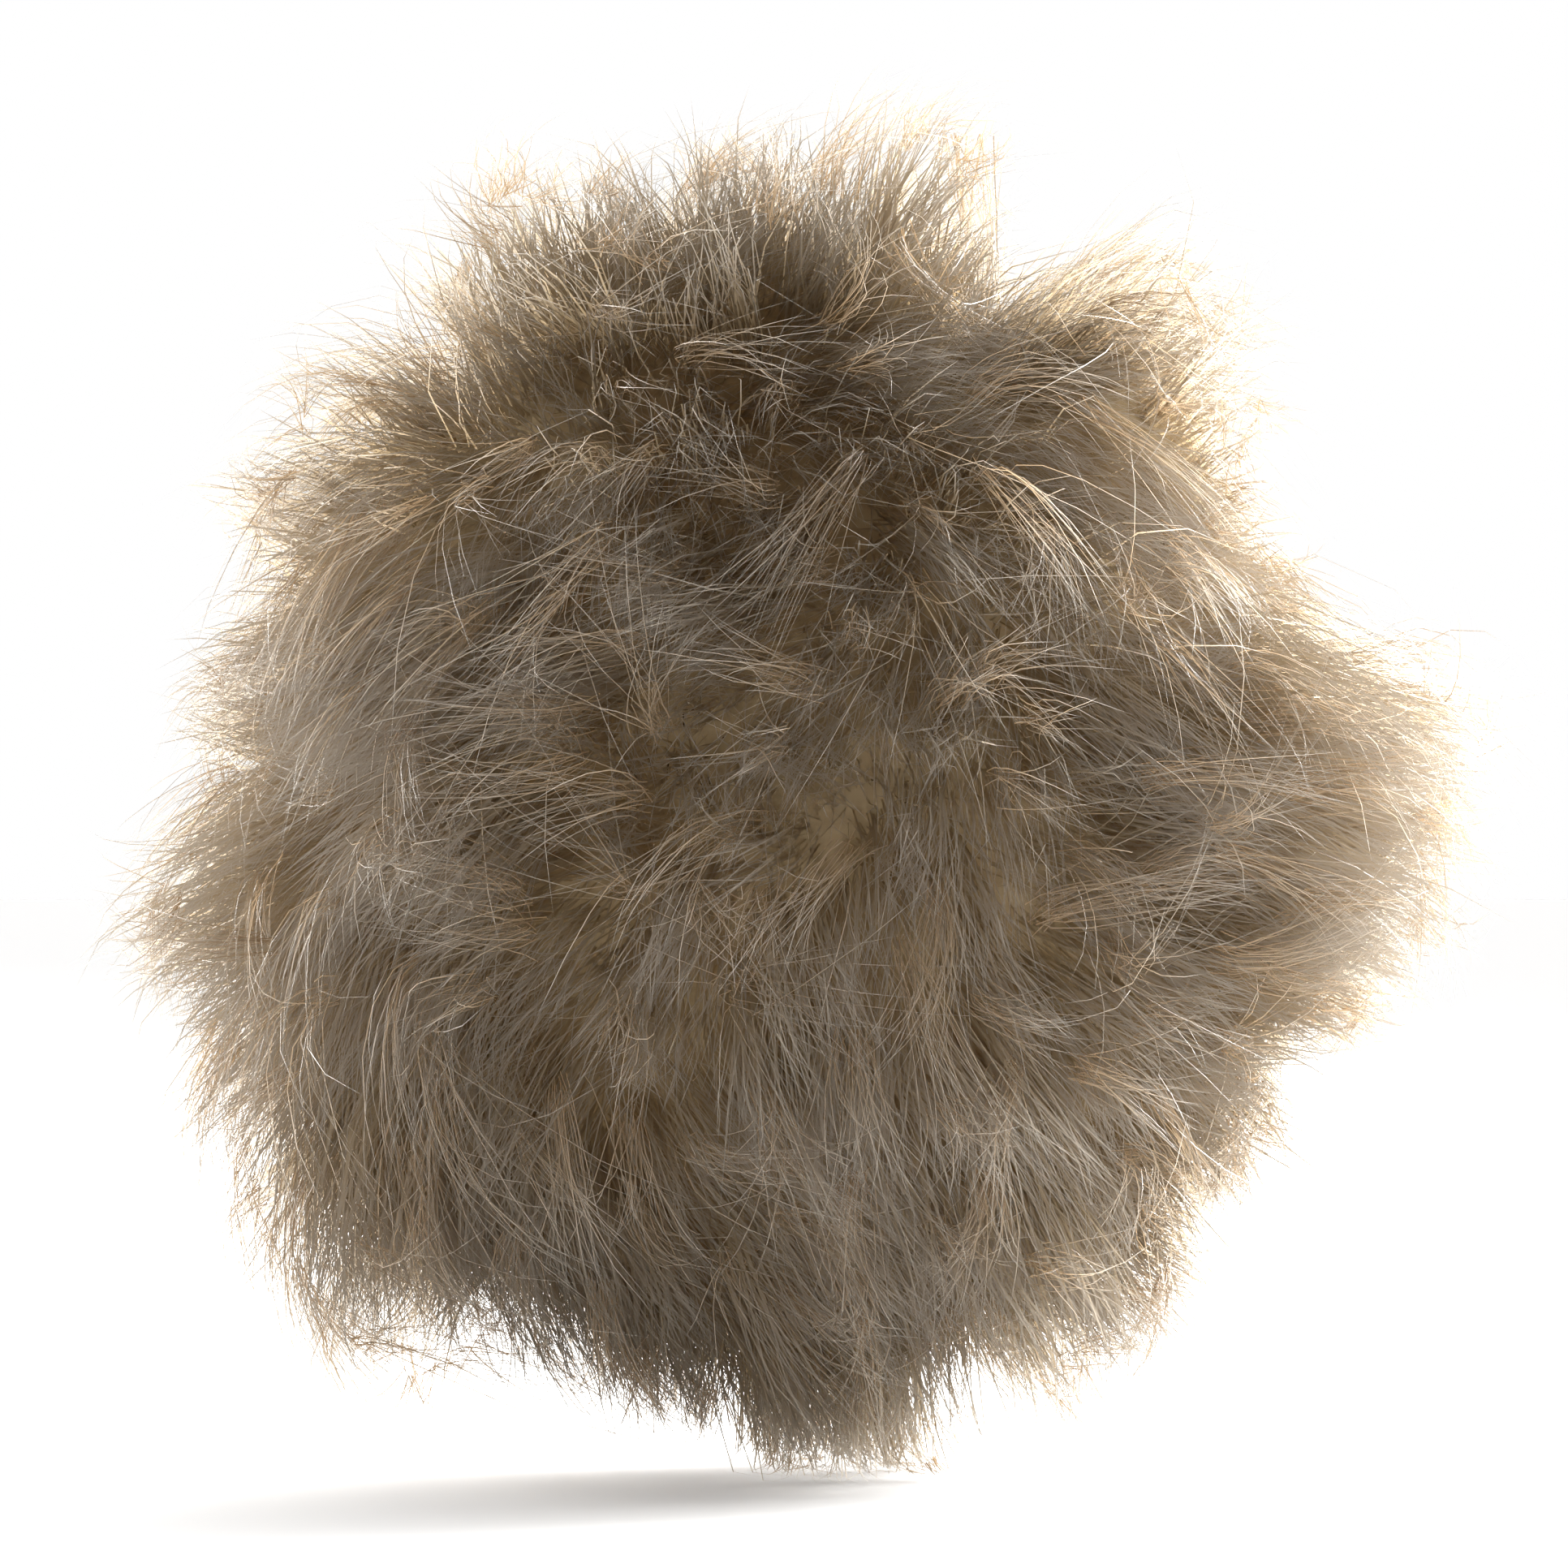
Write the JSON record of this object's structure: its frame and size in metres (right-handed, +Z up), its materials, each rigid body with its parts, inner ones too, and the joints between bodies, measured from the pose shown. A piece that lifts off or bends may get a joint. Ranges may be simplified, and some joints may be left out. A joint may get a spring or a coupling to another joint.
{
  "type": "faux-fur pom-pom",
  "caption": "Round ball of long, dense faux fur in uneven combed locks, standing on a small flat spot of pressed fur.",
  "frame": {"origin": "bottom centre of the bounding box, on the plane that the flat spot stands on", "axes": "+Z up, out of the flat spot; +Y away from the side seen in the picture, along the shortest side; +X to that side's right"},
  "size_m": [0.0992, 0.0896, 0.099],
  "materials": {
    "beige_faux_fur": "matt long pile in beige and taupe, darker and warmer at the roots, pale and slightly translucent at the tips"
  },
  "bodies": {
    "root": {"fur_ball": "beige_faux_fur"}
  },
  "joints": []
}
